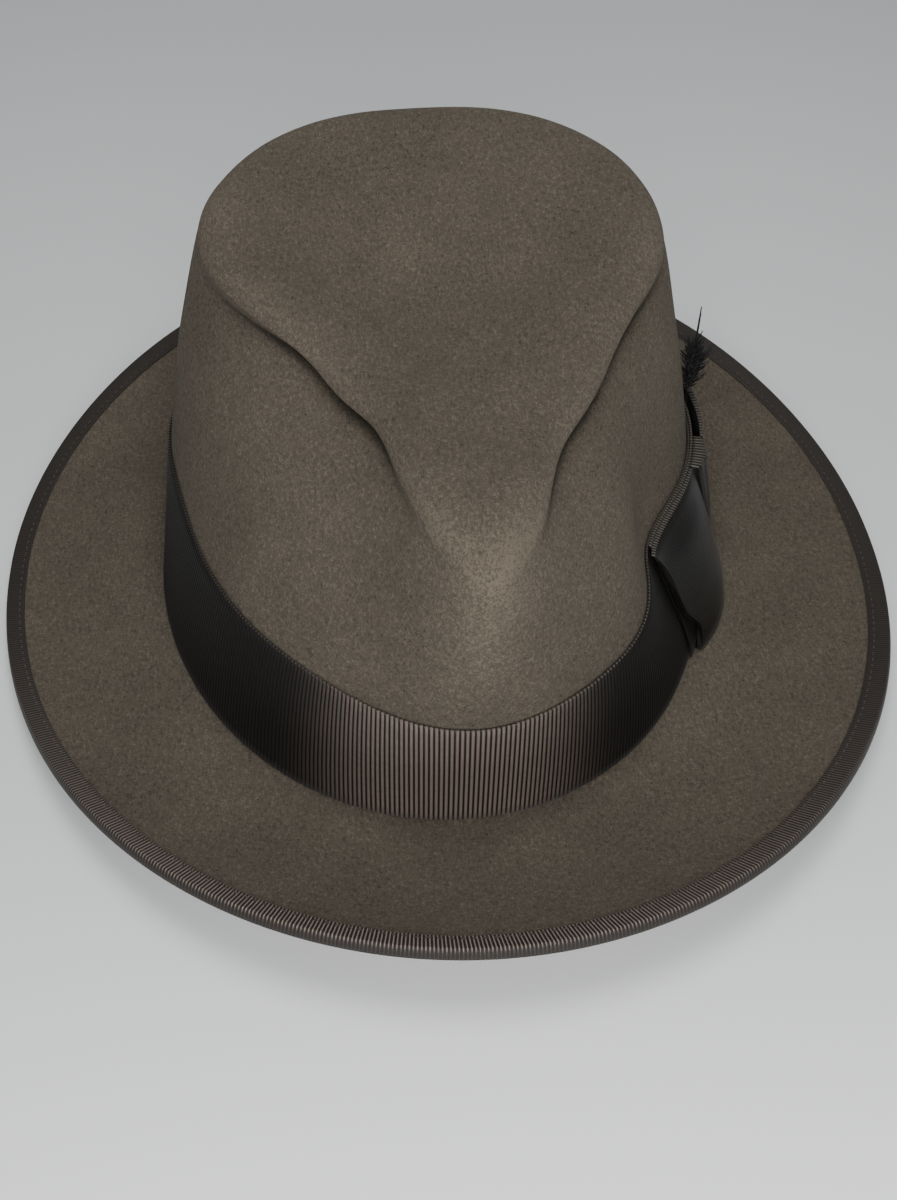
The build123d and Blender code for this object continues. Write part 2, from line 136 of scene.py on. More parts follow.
class Bench:
    """Builds one material's nodes."""

    def __init__(self, name: str, roughness: float, **constants: Input) -> None:
        """Starts a material with a Principled shader.

        Args:
            name: The material's name.
            roughness: Its roughness, unless a signal is put there later.
            constants: Values for other sockets of the shader, with _ for each space.
        """
        self.material = bpy.data.materials.new(name)
        self.material.use_nodes = True
        self.tree = self.material.node_tree
        self.shader = self.tree.nodes["Principled BSDF"]
        self.set(Roughness=roughness, **constants)

    def plug(self, socket: bpy.types.NodeSocket, value: Input) -> None:
        """Links or sets one input socket."""
        if isinstance(value, Signal):
            value = value.socket
        if isinstance(value, bpy.types.NodeSocket):
            self.tree.links.new(value, socket)
        elif hasattr(value, "__len__") and len(value) == 3 and socket.type == "RGBA":
            socket.default_value = (*value, 1.0)
        else:
            socket.default_value = value

    def set(self, **inputs: Input) -> None:
        """Sets or links inputs of the shader, with _ for each space in a socket's name."""
        for name, value in inputs.items():
            self.plug(self.shader.inputs[name.replace("_", " ")], value)

    def node(self, kind: str, settings: Optional[dict] = None, inputs: Optional[dict] = None) -> bpy.types.Node:
        """Adds any node.

        Args:
            kind: The node's type.
            settings: Its properties, set before the sockets.
            inputs: Values or links by socket name or number.

        Returns:
            The node.
        """
        made = self.tree.nodes.new(kind)
        for name, value in (settings or {}).items():
            setattr(made, name, value)
        for name, value in (inputs or {}).items():
            self.plug(made.inputs[name], value)
        return made

    def math(self, operation: str, *values: Input, clamp: bool = False) -> Signal:
        """One Math node as a signal."""
        made = self.node("ShaderNodeMath", {"operation": operation, "use_clamp": clamp}, dict(enumerate(values)))
        return Signal(self, made.outputs[0])

    def clamp(self, value: Input) -> Signal:
        """The value kept between 0 and 1."""
        return self.math("ADD", value, 0.0, clamp=True)

    def sine(self, value: Input) -> Signal:
        """The sine of a value in radians."""
        return self.math("SINE", value)

    def smooth(self, value: Input, low: float, high: float) -> Signal:
        """0 below low, 1 above high and a soft step between them."""
        made = self.node("ShaderNodeMapRange", {"interpolation_type": "SMOOTHSTEP"},
                         {"Value": value, "From Min": low, "From Max": high})
        return Signal(self, made.outputs["Result"])

    def place(self, scale: Sequence[float] = (1, 1, 1), turn: Sequence[float] = (0, 0, 0)) -> bpy.types.NodeSocket:
        """Object coordinates, in metres times scale."""
        source = self.node("ShaderNodeTexCoord").outputs["Object"]
        made = self.node("ShaderNodeMapping", {}, {"Vector": source, "Scale": scale, "Rotation": turn})
        return made.outputs["Vector"]

    def lay(self) -> tuple[Signal, Signal]:
        """The piece's own map: its first number counts ribs or runs along, its second is in mm across."""
        split = self.node("ShaderNodeSeparateXYZ", {}, {"Vector": self.node("ShaderNodeUVMap", {"uv_map": "Lay"}).outputs[0]})
        return Signal(self, split.outputs[0]), Signal(self, split.outputs[1])

    def painted(self, name: str) -> Signal:
        """A value painted on the piece's points."""
        return Signal(self, self.node("ShaderNodeAttribute", {"attribute_name": name}).outputs["Fac"])

    def vector(self, x: Input, y: Input, z: Input = 0.0) -> bpy.types.NodeSocket:
        """Three numbers as a vector."""
        return self.node("ShaderNodeCombineXYZ", {}, {0: x, 1: y, 2: z}).outputs[0]

    def noise(self, scale: float, detail: float = 3.0, rough: float = 0.55,
              at: Optional[bpy.types.NodeSocket] = None) -> Signal:
        """Cloudy noise of about 1/scale metres, from 0 to 1."""
        made = self.node("ShaderNodeTexNoise", {}, {"Vector": at or self.place(), "Scale": scale, "Detail": detail,
                                                    "Roughness": rough})
        return Signal(self, made.outputs["Fac"])

    def specks(self, scale: float, size: float, share: float) -> Signal:
        """Small round specks in some cells of about 1/scale metres."""
        made = self.node("ShaderNodeTexVoronoi", {}, {"Vector": self.place(), "Scale": scale})
        near = self.smooth(made.outputs["Distance"], size, size * 0.5)
        chosen = Signal(self, self.node("ShaderNodeSeparateColor", {}, {0: made.outputs["Color"]}).outputs[0])
        return near * (chosen < share)

    def mix(self, share: Input, first: Input, second: Input) -> bpy.types.NodeSocket:
        """One colour turning into another."""
        made = self.node("ShaderNodeMix", {"data_type": "RGBA", "clamp_factor": True})
        for index, value in ((0, share), (6, first), (7, second)):
            self.plug(made.inputs[index], value)
        return made.outputs[2]

    def shade(self, colour: Input, strength: Input) -> bpy.types.NodeSocket:
        """A colour made darker or lighter by a number."""
        return self.node("ShaderNodeVectorMath", {"operation": "SCALE"}, {0: colour, "Scale": strength}).outputs[0] \
            if not isinstance(colour, tuple) else self.shade(self.mix(0.0, colour, colour), strength)

    def bump(self, height: Input, depth: float, strength: float = 1.0) -> None:
        """Gives the shader a relief of a depth in metres."""
        made = self.node("ShaderNodeBump", {}, {"Height": height, "Distance": depth, "Strength": strength})
        self.set(Normal=made.outputs["Normal"])


# ---- finishes ------------------------------------------------------------------------------------------
@dataclass(frozen=True)
class FeltFinish:
    """Brushed fur felt with a mottled nap, a few pale lint specks, ridges that are paler partly where they are worn and
    partly from a painted highlight, and painted shade in the creases.
    """

    slot: str = "felt"
    base: Colour = (0.102, 0.088, 0.070)
    pale: Colour = (0.182, 0.153, 0.121)
    dark: Colour = (0.048, 0.041, 0.033)
    lint: Colour = (0.50, 0.47, 0.42)
    # near-black painted shade for the creases
    crease_shade_colour: Colour = (0.010, 0.008, 0.006)

    def make(self) -> bpy.types.Material:
        """Returns the material."""
        b = Bench("felt_nap", 0.95, Sheen_Weight=0.05, Sheen_Roughness=0.5, Specular_IOR_Level=0.08)
        b.set(Sheen_Tint=(0.75, 0.68, 0.58, 1.0))
        nap = b.noise(2100, 4, 0.75)
        tufts = b.noise(800, 3, 0.6)
        clouds = b.noise(34, 3, 0.5)
        warm = b.noise(160, 2, 0.5)
        hairs = b.noise(1600, 2, 0.6, b.place((1, 0.25, 1), (0.3, 0.2, 0.9)))
        tone = 0.5 + (nap - 0.5) * 1.9 + (tufts - 0.5) * 1.0 + (hairs - 0.5) * 0.8 + (clouds - 0.5) * 0.45
        # Paler nose and rolled border: partly worn felt, partly painted highlight.
        tone = b.clamp(tone + b.painted("wear_and_highlight") * 0.32)
        colour = b.mix(b.smooth(tone, 0.0, 0.5), self.dark, self.base)
        colour = b.mix(b.smooth(tone, 0.5, 1.0), colour, self.pale)
        colour = b.mix((warm - 0.35) * 0.25, colour, (0.145, 0.112, 0.084))
        # Painted shade: the creases turn near black.
        colour = b.mix(b.clamp(b.painted("crease") * 1.1), colour, self.crease_shade_colour)
        colour = b.mix(b.specks(75, 0.028, 0.16) * 0.75, colour, self.lint)
        b.set(Base_Color=colour)
        b.bump(nap * 0.6 + tufts * 0.5 + hairs * 0.4, 0.0005, 0.6)
        return b.material


@dataclass(frozen=True)
class RibbedRibbon:
    """Grosgrain: cords across the ribbon, wrapped with fine silk, with a painted sheen that makes the cords paler where
    the light would catch them.
    """

    slot: str
    name: str
    # painted shade in the grooves between the cords
    groove_shade: Colour = (0.0045, 0.0036, 0.0034)
    cord: Colour = (0.0115, 0.0100, 0.0092)
    # painted highlight colour of the cords
    sheen_colour: Colour = (0.225, 0.176, 0.150)
    selvedge: Colour = (0.16, 0.135, 0.115)
    edges: tuple[float, float] = (0.0, 38.0)
    rib_depth: float = 0.0
    roughness: float = 0.55
    line: tuple[float, float] = (0.30, 0.92)

    def make(self) -> bpy.types.Material:
        """Returns the material."""
        b = Bench(self.name, self.roughness, Sheen_Weight=0.04, Sheen_Roughness=0.35, Specular_IOR_Level=0.25)
        along, across = b.lay()
        ridge = abs(b.sine(along * math.pi))
        twist = b.sine(across * 17.0 + along * 9.0) * 0.5 + 0.5
        uneven = b.noise(1.0, 2, 0.5, b.vector(along * 0.35, across * 0.9))
        crest = b.smooth(ridge, *self.line)
        # Painted sheen: the cords turn paler where the light would catch them.
        rub = b.clamp(b.painted("rub") * (0.72 + 0.55 * uneven))
        top = b.mix(rub, self.cord, self.sheen_colour)
        top = b.shade(top, 0.72 + 0.35 * twist)
        # Painted shade: the grooves between the cords are darker than the cords.
        colour = b.mix(crest, self.groove_shade, top)
        low, high = self.edges
        near_edge = b.clamp(b.smooth(across, high - 0.55, high - 0.25) + b.smooth(across, low + 0.55, low + 0.25))
        dots = b.smooth(b.sine(along * math.pi * 2), -0.2, 0.7)
        colour = b.mix(near_edge * dots * 0.5, colour, self.selvedge)
        b.set(Base_Color=colour)
        b.bump(ridge * self.rib_depth + twist * 0.14 + uneven * 0.10, 0.0005, 0.6)
        return b.material


@dataclass(frozen=True)
class SatinFinish:
    """Plain satin with fine threads, a little crumpled."""

    slot: str
    name: str
    colour: Colour
    gloss: float = 0.34

    def make(self) -> bpy.types.Material:
        """Returns the material."""
        b = Bench(self.name, self.gloss, Sheen_Weight=0.2, Sheen_Roughness=0.3, Specular_IOR_Level=0.6)
        along, across = b.lay()
        floats = b.noise(1.0, 2, 0.6, b.vector(along * 14.0, across * 1.2))
        crumple = b.noise(60, 3, 0.5)
        dark = tuple(0.62 * c for c in self.colour)
        b.set(Base_Color=b.mix(0.25 + floats * 0.75, dark, self.colour),
              Roughness=self.gloss + (floats - 0.5) * 0.25)
        b.bump(floats * 0.10 + crumple * 0.9, 0.0012, 0.5)
        return b.material


@dataclass(frozen=True)
class LeatherFinish:
    """Smooth sweatband leather with a fine grain, creases and darker stains."""

    slot: str = "sweat_leather"
    colour: Colour = (0.235, 0.098, 0.040)
    worn: Colour = (0.100, 0.040, 0.018)

    def make(self) -> bpy.types.Material:
        """Returns the material."""
        b = Bench("sweatband_leather", 0.45, Specular_IOR_Level=0.5)
        cells = b.node("ShaderNodeTexVoronoi", {"feature": "DISTANCE_TO_EDGE"}, {"Vector": b.place(), "Scale": 900})
        grain = b.smooth(cells.outputs["Distance"], 0.0, 0.25)
        stain = b.noise(38, 4, 0.6)
        creases = b.noise(70, 3, 0.6, b.place((1, 1, 6)))
        colour = b.mix(b.smooth(stain, 0.45, 0.7), self.colour, self.worn)
        colour = b.mix((1 - grain) * 0.45, colour, self.worn)
        b.set(Base_Color=colour, Roughness=0.38 + stain * 0.25)
        b.bump(grain * 0.25 + creases * 0.8, 0.0005, 0.5)
        return b.material


@dataclass(frozen=True)
class ThreadFinish:
    """Twisted sewing thread or a corded tape."""

    slot: str
    name: str
    colour: Colour
    twist: float = 2600.0

    def make(self) -> bpy.types.Material:
        """Returns the material."""
        b = Bench(self.name, 0.6, Sheen_Weight=0.2, Specular_IOR_Level=0.35)
        ply = b.node("ShaderNodeTexWave", {"bands_direction": "DIAGONAL"},
                     {"Vector": b.place(), "Scale": self.twist / 6.0, "Distortion": 1.5, "Detail": 1.0})
        ply_value = Signal(b, ply.outputs["Fac"])
        fuzz = b.noise(2200, 3, 0.6)
        dark = tuple(0.45 * c for c in self.colour)
        b.set(Base_Color=b.mix(b.clamp(ply_value * 0.7 + fuzz * 0.5), dark, self.colour))
        b.bump(ply_value + fuzz * 0.4, 0.0002, 0.7)
        return b.material


@dataclass(frozen=True)
class FeatherFinish:
    """Blue-black feather web, or the horn of its shaft."""

    slot: str
    name: str
    colour: Colour
    tip: Colour
    gloss: float = 0.4

    def make(self) -> bpy.types.Material:
        """Returns the material."""
        b = Bench(self.name, self.gloss, Specular_IOR_Level=0.5, Sheen_Weight=0.1)
        streaks = b.noise(700, 3, 0.6, b.place((1, 1, 0.12)))
        b.set(Base_Color=b.mix(b.smooth(streaks, 0.35, 0.75), self.colour, self.tip), Roughness=self.gloss + streaks * 0.2)
        b.bump(streaks, 0.0002, 0.5)
        return b.material


@dataclass(frozen=True)
class FloorFinish:
    """Pale matt table top with painted light: it glows, and it is paler and glows more towards the camera."""

    colour: Colour = (0.80, 0.82, 0.83)
    # paler towards the camera: painted light falloff
    near: Colour = (0.97, 0.97, 0.96)

    def make(self) -> bpy.types.Material:
        """Returns the material."""
        b = Bench("table_painted_glow", 0.85, Specular_IOR_Level=0.2)
        cloud = b.noise(3.0, 2, 0.4)
        depth = Signal(b, b.node("ShaderNodeSeparateXYZ", {}, {"Vector": b.place()}).outputs[1])
        # Painted light falloff: the table is paler towards the camera.
        near = b.mix(b.smooth(depth, -0.05, -0.45), self.colour, self.near)
        # Painted light: the table glows, most near the camera, as if a near lamp lit it.
        b.set(Base_Color=b.mix(cloud * 0.25, near, self.colour), Emission_Strength=0.85,
              Emission_Color=b.mix(b.smooth(depth, -0.05, -0.45), (0.09, 0.096, 0.101), (1.0, 1.0, 0.99)))
        return b.material


# ---- the felt's shape as a formula -----------------------------------------------------------------------
@dataclass(frozen=True)
class FeltShape:
    """The outer surface of the blocked felt, by angle from the front and station up the crown."""

    half_width: float = 88.0
    front: float = 108.6
    back: float = 93.6
    shift_x: float = -4.5
    top: float = 110.0
    square_back: float = 0.60
    back_lean: float = 2.5
    nose_turn: float = math.radians(4.6)
    brim_width: float = 52.3
    brim_extra_ends: float = -1.2
    edge_mean: float = 11.5
    edge_ends: float = 9.0
    curl: float = 1.7
    thickness: float = 2.2
    floor: float = 2.15
    band_height: float = 38.0
    pinch_nose: float = 15.5
    pinch_widen: float = 13.0
    pinch_end: float = 91.0
    pinch_fade: float = 10.5
    pinch_spread: float = 7.0
    pinch_soften: float = 3.0
    pinch_mean: float = 1.135
    pinch_skew: float = 0.195
    hollow_depth: float = 13.0
    hollow_angle: float = 54.0
    hollow_to_front: float = 15.0
    hollow_to_back: float = 24.0
    hollow_height: float = 42.0
    hollow_rise: float = 28.0
    crease_cut: float = 2.3
    crease_width: float = 0.14
    roll_bulge: float = 0.0
    # share of the outline, inset, heights at front, side and back, pinch; from the break to the top's middle
    stations: tuple = (
        (1.00, 0.0, 0.0, 0.0, 0.0, 0.000),
        (1.00, 0.6, 20.0, 20.0, 20.0, 0.050),
        (1.00, 1.6, 38.0, 38.0, 38.0, 0.107),
        (1.00, 3.5, 57.0, 60.0, 63.0, 0.207),
        (1.00, 6.5, 72.0, 78.0, 88.0, 0.328),
        (1.00, 9.0, 81.0, 90.5, 102.0, 0.450),
        (1.00, 11.5, 84.5, 93.6, 109.5, 0.432),
        (1.00, 18.5, 88.5, 97.2, 115.0, 0.415),
        (1.00, 32.0, 91.0, 98.6, 112.5, 0.400),
        (0.62, 33.0, 90.5, 95.0, 102.0, 0.360),
        (0.32, 33.0, 90.0, 91.5, 94.0, 0.200),
        (0.00, 33.0, 90.0, 90.0, 90.0, 0.000),
    )
    crease_station: float = 5.0
    band_station: float = 2.0

    @property
    def widest_y(self) -> float:
        """Where the crown is widest."""
        return (self.front - self.back) / 2

    @property
    def pole(self) -> float:
        """The station of the top's middle."""
        return len(self.stations) - 1.0

    def outline(self, t: Array, square: Union[float, Array] = 0.0) -> Array:
        """Radius of the crown's outline from its widest line."""
        power = 2 + square
        length = np.where(np.cos(t) > 0, self.front, self.back)
        return (np.abs(np.sin(t) / self.half_width) ** power + np.abs(np.cos(t) / length) ** power) ** (-1 / power)

    def degrees(self, t: Array) -> Array:
        """The angle in degrees, from -180 to 180."""
        return np.degrees((t + math.pi) % (2 * math.pi) - math.pi)

    def pinch(self, t: Array, rise: Array) -> Array:
        """Share of the pinch at an angle and a share of the height."""
        angle = self.degrees(t)
        side = np.tanh(angle / 30)
        width = self.pinch_nose + side + self.pinch_widen * (1 - rise) ** 2
        nose = 1 - np.exp(-np.abs(angle / width) ** 1.85)
        middle = self.pinch_end + self.pinch_spread * rise ** 2 * (1 - side) / 2
        end = 1 / (1 + np.exp((np.abs(angle) - middle) / (self.pinch_fade + self.pinch_soften * rise ** 2)))
        return nose * end * (self.pinch_mean - self.pinch_skew * side)

    def hollow(self, t: Array, height: Array) -> Array:
        """Depth of the hollow over the bow's front loop."""
        across = self.degrees(t) - self.hollow_angle
        across = across / np.where(across < 0, self.hollow_to_front, self.hollow_to_back)
        return self.hollow_depth * np.exp(-across ** 2 - ((height - self.hollow_height) / self.hollow_rise) ** 2)

    def station(self, s: Array) -> list[Array]:
        """Catmull-Rom curve through the stations' values."""
        table = np.array(self.stations)
        last = len(table) - 1
        mirrored = table[last - 1] * np.array([-1, 1, 1, 1, 1, 1])
        table = np.vstack([2 * table[0] - table[1], table, mirrored])
        i = np.clip(np.floor(s).astype(int), 0, last - 1)
        u = (s - i)[..., None]
        a, b, c, d = (table[i + k] for k in range(4))
        value = b + 0.5 * u * (c - a + u * (2 * a - 5 * b + 4 * c - d + u * (3 * (b - c) + d - a)))
        return [value[..., k] for k in range(6)]

    def gate(self, t: Array) -> Array:
        """How much of the crease there is at an angle: it dies out at the nose and behind the pinch."""
        angle = self.degrees(t)
        nose = 1 - np.exp(-(angle / 20.0) ** 4)
        return nose / (1 + np.exp((np.abs(angle) - 96.0) / 7.0))

    def crown(self, t: Array, s: Array, sharp: bool = False) -> Array:
        """Points of the crown.

        Args:
            t: Angles from the front.
            s: Stations up from the break.
            sharp: Whether the crease is cut in and the border rolled over it.

        Returns:
            Points in mm over the break, one per angle.
        """
        share, inset, front, side, back, depth = self.station(s)
        c = np.cos(t)
        height = side + (front - back) / 2 * c + ((front + back) / 2 - side) * c * c
        rise = height / self.top
        radius = self.outline(t, self.square_back * rise) - inset
        turned = t - self.nose_turn * rise
        radius = share * (radius * (1 - depth * self.pinch(turned, rise)) - self.hollow(t, height))
        if sharp:
            gate = self.gate(turned)
            off = s - self.crease_station
            radius = radius - gate * self.crease_cut * np.exp(-np.abs(off) / self.crease_width)
            radius = radius + gate * self.roll_bulge * np.exp(-((off - 0.55) / 0.32) ** 2)
        lean = self.back_lean * rise * np.abs(rise) * (1 - c) / 2
        return np.stack([self.shift_x + lean + radius * np.sin(t), self.widest_y - radius * c, height], -1)

    def brim(self, t: Array, u: Array) -> Array:
        """Points of the brim's upper surface, from the break at u 0 to the cut edge at u 1."""
        radius = self.outline(t) - (1 - u) * self.hollow(t, np.zeros_like(t))
        x, y = radius * np.sin(t), -radius * np.cos(t)
        length = np.where(np.cos(t) > 0, self.front, self.back)
        nx, ny = x / self.half_width ** 2, y / length ** 2
        size = np.hypot(nx, ny)
        out = u * (self.brim_width + self.brim_extra_ends * np.cos(2 * t)) / size
        height = (self.edge_mean + self.edge_ends * np.cos(2 * t)) * np.abs(u) ** self.curl
        return np.stack([self.shift_x * (1 - u) + x + nx * out, self.widest_y + y + ny * out, height], -1)

    def offset(self, surface: Place, t: Array, s: Array, depth: Array) -> Array:
        """Points at a depth under a surface, standing on the floor, in mm."""
        step = 1e-3
        t, s, depth = np.broadcast_arrays(np.asarray(t, float), np.asarray(s, float), np.asarray(depth, float))
        along = surface(t + step, s) - surface(t - step, s)
        up = surface(t, s + step) - surface(t, s - step)
        normal = np.cross(along, up)
        size = np.linalg.norm(normal, axis=-1, keepdims=True)
        normal = np.where(size > 1e-9, normal / np.maximum(size, 1e-9), np.array([0.0, 0.0, 1.0]))
        return surface(t, s) - normal * depth[..., None] + np.array([0.0, 0.0, self.floor])

    def on_crown(self, t: Array, s: Array, depth: Array, sharp: bool = False) -> Array:
        """Points at a depth inside the crown's outer surface; a negative depth is outside it."""
        near = np.minimum(s, self.pole - 0.02)
        return self.offset(lambda a, b: self.crown(a, b, sharp), t, np.where(s >= self.pole, near, s), depth) \
            if np.all(np.asarray(s) < self.pole) else self._with_pole(t, s, depth, sharp)

    def _with_pole(self, t: Array, s: Array, depth: Array, sharp: bool) -> Array:
        """The same where some points are the top's middle."""
        t, s, depth = np.broadcast_arrays(np.asarray(t, float), np.asarray(s, float), np.asarray(depth, float))
        points = self.offset(lambda a, b: self.crown(a, b, sharp), t, np.minimum(s, self.pole - 0.01), depth)
        centre = self.crown(t, np.minimum(s, self.pole)) + np.array([0.0, 0.0, self.floor])
        centre[..., 2] -= depth
        return np.where((s >= self.pole)[..., None], centre, points)

    def on_brim(self, t: Array, u: Array, depth: Array) -> Array:
        """Points at a depth under the brim's upper surface."""
        return self.offset(lambda a, b: self.brim(a, -b), t, -np.asarray(u, float), depth)

    def on_wall(self, degrees: Array, height: Array, distance: Array) -> Array:
        """Points by angle, height over the break and distance out from the felt."""
        t = np.radians(degrees)
        s = self.band_station * height / self.band_height
        for _ in range(3):
            gap = height + self.floor - self.on_crown(t, s, -distance)[..., 2]
            s = s + gap * self.band_station / self.band_height
        return self.on_crown(t, s, -distance)

    def even_angles(self, share: Array, ring: Callable[[Array], Array]) -> Array:
        """Angles that share out the length of a ring evenly, from the back round to the back."""
        t = np.linspace(-math.pi, math.pi, 2001)
        points = ring(t)
        run = np.concatenate([[0.0], np.cumsum(np.linalg.norm(np.diff(points, axis=0), axis=1))])
        return np.interp(share * run[-1], run, t)


SHAPE = FeltShape()
GAP = 0.2
RIBBON = 0.7


# ---- meshes --------------------------------------------------------------------------------------------
def link(name: str, bm: bmesh.types.BMesh, material: bpy.types.Material, smooth: bool = True) -> bpy.types.Object:
    """Turns a bmesh into an object of the scene."""
    mesh = bpy.data.meshes.new(name)
    for face in bm.faces:
        face.smooth = smooth
    bm.to_mesh(mesh)
    bm.free()
    mesh.materials.append(material)
    made = bpy.data.objects.new(name, mesh)
    bpy.context.scene.collection.objects.link(made)
    return made


def lay_skin(bm: bmesh.types.BMesh, across: int, along: int, place: Place, lay: Optional[Place] = None,
             paint: Optional[dict[str, Callable[[Array, Array], Array]]] = None) -> None:
    """Lays a grid of faces over a formula.

    Args:
        bm: The bmesh that gets the faces.
        across: Faces in the first direction.
        along: Faces in the second direction.
        place: Gives points in mm from the two shares, each from 0 to 1.
        lay: Gives the map's two numbers from the shares.
        paint: Values by name for the points.
    """
    uv = bm.loops.layers.uv.get("Lay") or bm.loops.layers.uv.new("Lay")
    layers = {name: bm.verts.layers.float.get(name) or bm.verts.layers.float.new(name) for name in paint or {}}
    made = bmesh.ops.create_grid(bm, x_segments=across, y_segments=along, size=0.5)["verts"]
    share = np.array([(v.co.x, v.co.y) for v in made])
    share = (share - share.min(0)) / (share.max(0) - share.min(0))
    a, b = share[:, 0], share[:, 1]
    at = {v: k for k, v in enumerate(made)}
    if lay is not None:
        values = lay(a, b)
        for face in {f for v in made for f in v.link_faces}:
            for loop in face.loops:
                loop[uv].uv = values[at[loop.vert]]
    for name, layer in layers.items():
        for v, x in zip(made, paint[name](a, b)):
            v[layer] = x
    for v, p in zip(made, place(a, b) * MM):
        v.co = p


def close_up(bm: bmesh.types.BMesh, merge: float = 2e-6, outwards: bool = True) -> None:
    """Merges the seams of a skin and turns its faces outwards."""
    bmesh.ops.remove_doubles(bm, verts=bm.verts, dist=merge)
    bmesh.ops.dissolve_degenerate(bm, edges=bm.edges, dist=1e-8)
    if outwards:
        bmesh.ops.recalc_face_normals(bm, faces=bm.faces)


def section_place(rows: Array, ring: Callable[[Array, Array, Array], Array], angles: Callable[[Array], Array]) -> Place:
    """A closed section swept round the hat.

    Args:
        rows: The section's points, two numbers each, the last the same as the first.
        ring: Gives points from angles and the section's two numbers.
        angles: Gives angles from shares.

    Returns:
        The formula for lay_skin.
    """
    knots = np.linspace(0, 1, len(rows))

    def place(a: Array, b: Array) -> Array:
        return ring(angles(a), np.interp(b, knots, rows[:, 0]), np.interp(b, knots, rows[:, 1]))
    return place


def wobble(points: Array, scale: float, size: float, seed: float = 0.0) -> Array:
    """Soft random shifts of points in mm, so that nothing is ruler-straight."""
    shift = Vector((seed, seed * 1.7, -seed))
    moves = [noise.noise_vector(Vector(p) / scale + shift) for p in points]
    return points + size * np.array([tuple(m) for m in moves])


def tube(bm: bmesh.types.BMesh, points: Array, radii: Array, sides: int = 6) -> None:
    """A round tube through points in mm with a radius at each, closed at both ends."""
    ends = None
    for k, (point, radius) in enumerate(zip(points, radii)):
        ahead = Vector(points[min(k + 1, len(points) - 1)] - points[max(k - 1, 0)])
        turn = ahead.to_track_quat("Z", "Y").to_matrix().to_4x4()
        made = bmesh.ops.create_circle(bm, cap_ends=False, segments=sides, radius=max(radius, 0.02) * MM,
                                       matrix=Matrix.Translation(Vector(point) * MM) @ turn)["verts"]
        edges = list({e for v in made for e in v.link_edges})
        if ends:
            bmesh.ops.bridge_loops(bm, edges=ends[1] + edges)
        else:
            bmesh.ops.holes_fill(bm, edges=edges)
            first = edges
        ends = (made, edges)
    bmesh.ops.holes_fill(bm, edges=ends[1])


def finish_piece(piece: bpy.types.Object, body: Body, slot: str, nodes: Sequence[str]) -> bpy.types.Object:
    """Parents a piece to its body, hides the imported parts that it stands for and logs its faces."""
    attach(piece, body.value)
    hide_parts(*nodes)
    LOG.info("%s: %d faces", piece.name, len(piece.data.polygons))
    return piece


# ---- sub-assemblies ------------------------------------------------------------------------------------
@dataclass
class FeltBody:
    """Crown and brim in one piece of felt."""

    columns: int = 300
    finish: FeltFinish = field(default_factory=FeltFinish)

    def profile(self) -> tuple[Array, Array]:
        """Rows from the outer top, down the crown, out over the brim and back inside.

        Returns:
            Where each row is on the path, and its number of the path's five runs.
        """
        crown = np.concatenate([np.linspace(0, 0.28, 22, endpoint=False), np.linspace(0.28, 0.62, 62, endpoint=False),
                                np.linspace(0.62, 1.0, 32, endpoint=False)])
        brim = 1 + np.linspace(0, 1, 40, endpoint=False)
        edge = 2 + np.linspace(0, 1, 5, endpoint=False)
        under = 3 + np.linspace(0, 1, 34, endpoint=False)
        inner = 4 + np.linspace(0, 1, 84)
        return np.concatenate([crown, brim, edge, under, inner])

    def where(self, b: Array) -> Array:
        """The place on the path for a share of the rows."""
        rows = self.profile()
        return np.interp(b, np.linspace(0, 1, len(rows)), rows)

    def place(self, a: Array, b: Array) -> Array:
        """Points of the felt in mm."""
        t, q = 2 * math.pi * a - math.pi, self.where(b)
        f = SHAPE.thickness
        points = np.zeros((len(a), 3))
        for low, make in (
            (0, lambda t, w: SHAPE.on_crown(t, SHAPE.pole * (1 - w), 0.0 * w, sharp=True)),
            (1, lambda t, w: SHAPE.on_brim(t, w, 0.0 * w)),
            (2, lambda t, w: SHAPE.on_brim(t, 1 + 0.006 * np.sin(math.pi * w), f * w)),
            (3, lambda t, w: SHAPE.on_brim(t, 1 - w, f + 0.0 * w)),
            (4, lambda t, w: SHAPE.on_crown(t, SHAPE.pole * w, f + 0.0 * w)),
        ):
            on = (q >= low) & (q < low + 1) if low < 4 else q >= 4
            points[on] = make(t[on], q[on] - low)
        free = np.clip(np.where(q < 1, 1 - q, 0), 0, 1)[:, None]
        return points + (wobble(points, 26.0, 0.5, 3.0) - points) * np.minimum(free * 3, 1)

    def wear_and_highlight(self, a: Array, b: Array) -> Array:
        """Paler felt along the nose and the top's rolled border: partly worn by rubbing, partly a painted highlight
        where the light catches these ridges.
        """
        t, q = 2 * math.pi * a - math.pi, self.where(b)
        s = np.where(q < 1, SHAPE.pole * (1 - q), 0)
        border = np.exp(-((s - 6.4) / 0.8) ** 2)
        nose = np.exp(-(SHAPE.degrees(t - 0.06) / 13.0) ** 2) * np.exp(-((s - 5.5) / 2.0) ** 2)
        return np.where(q < 1, np.clip(0.55 * border + 0.9 * nose, 0, 1), 0)

    def crease(self, a: Array, b: Array) -> Array:
        """Painted shade deep in the creases, where the felt is turned near black."""
        t, q = 2 * math.pi * a - math.pi, self.where(b)
        s = np.where(q < 1, SHAPE.pole * (1 - q), 0)
        return np.where(q < 1, SHAPE.gate(t) * np.exp(-np.abs(s - SHAPE.crease_station) / 0.12), 0)

    def build(self) -> bpy.types.Object:
        """Builds the felt."""
        bm = bmesh.new()
        lay_skin(bm, self.columns, len(self.profile()) - 1, self.place, lambda a, b: np.stack([a, b], -1),
                 {"wear_and_highlight": self.wear_and_highlight, "crease": self.crease})
        close_up(bm)
        return finish_piece(link("felt_shell", bm, self.finish.make()), Body.HAT, self.finish.slot, ["felt_body"])


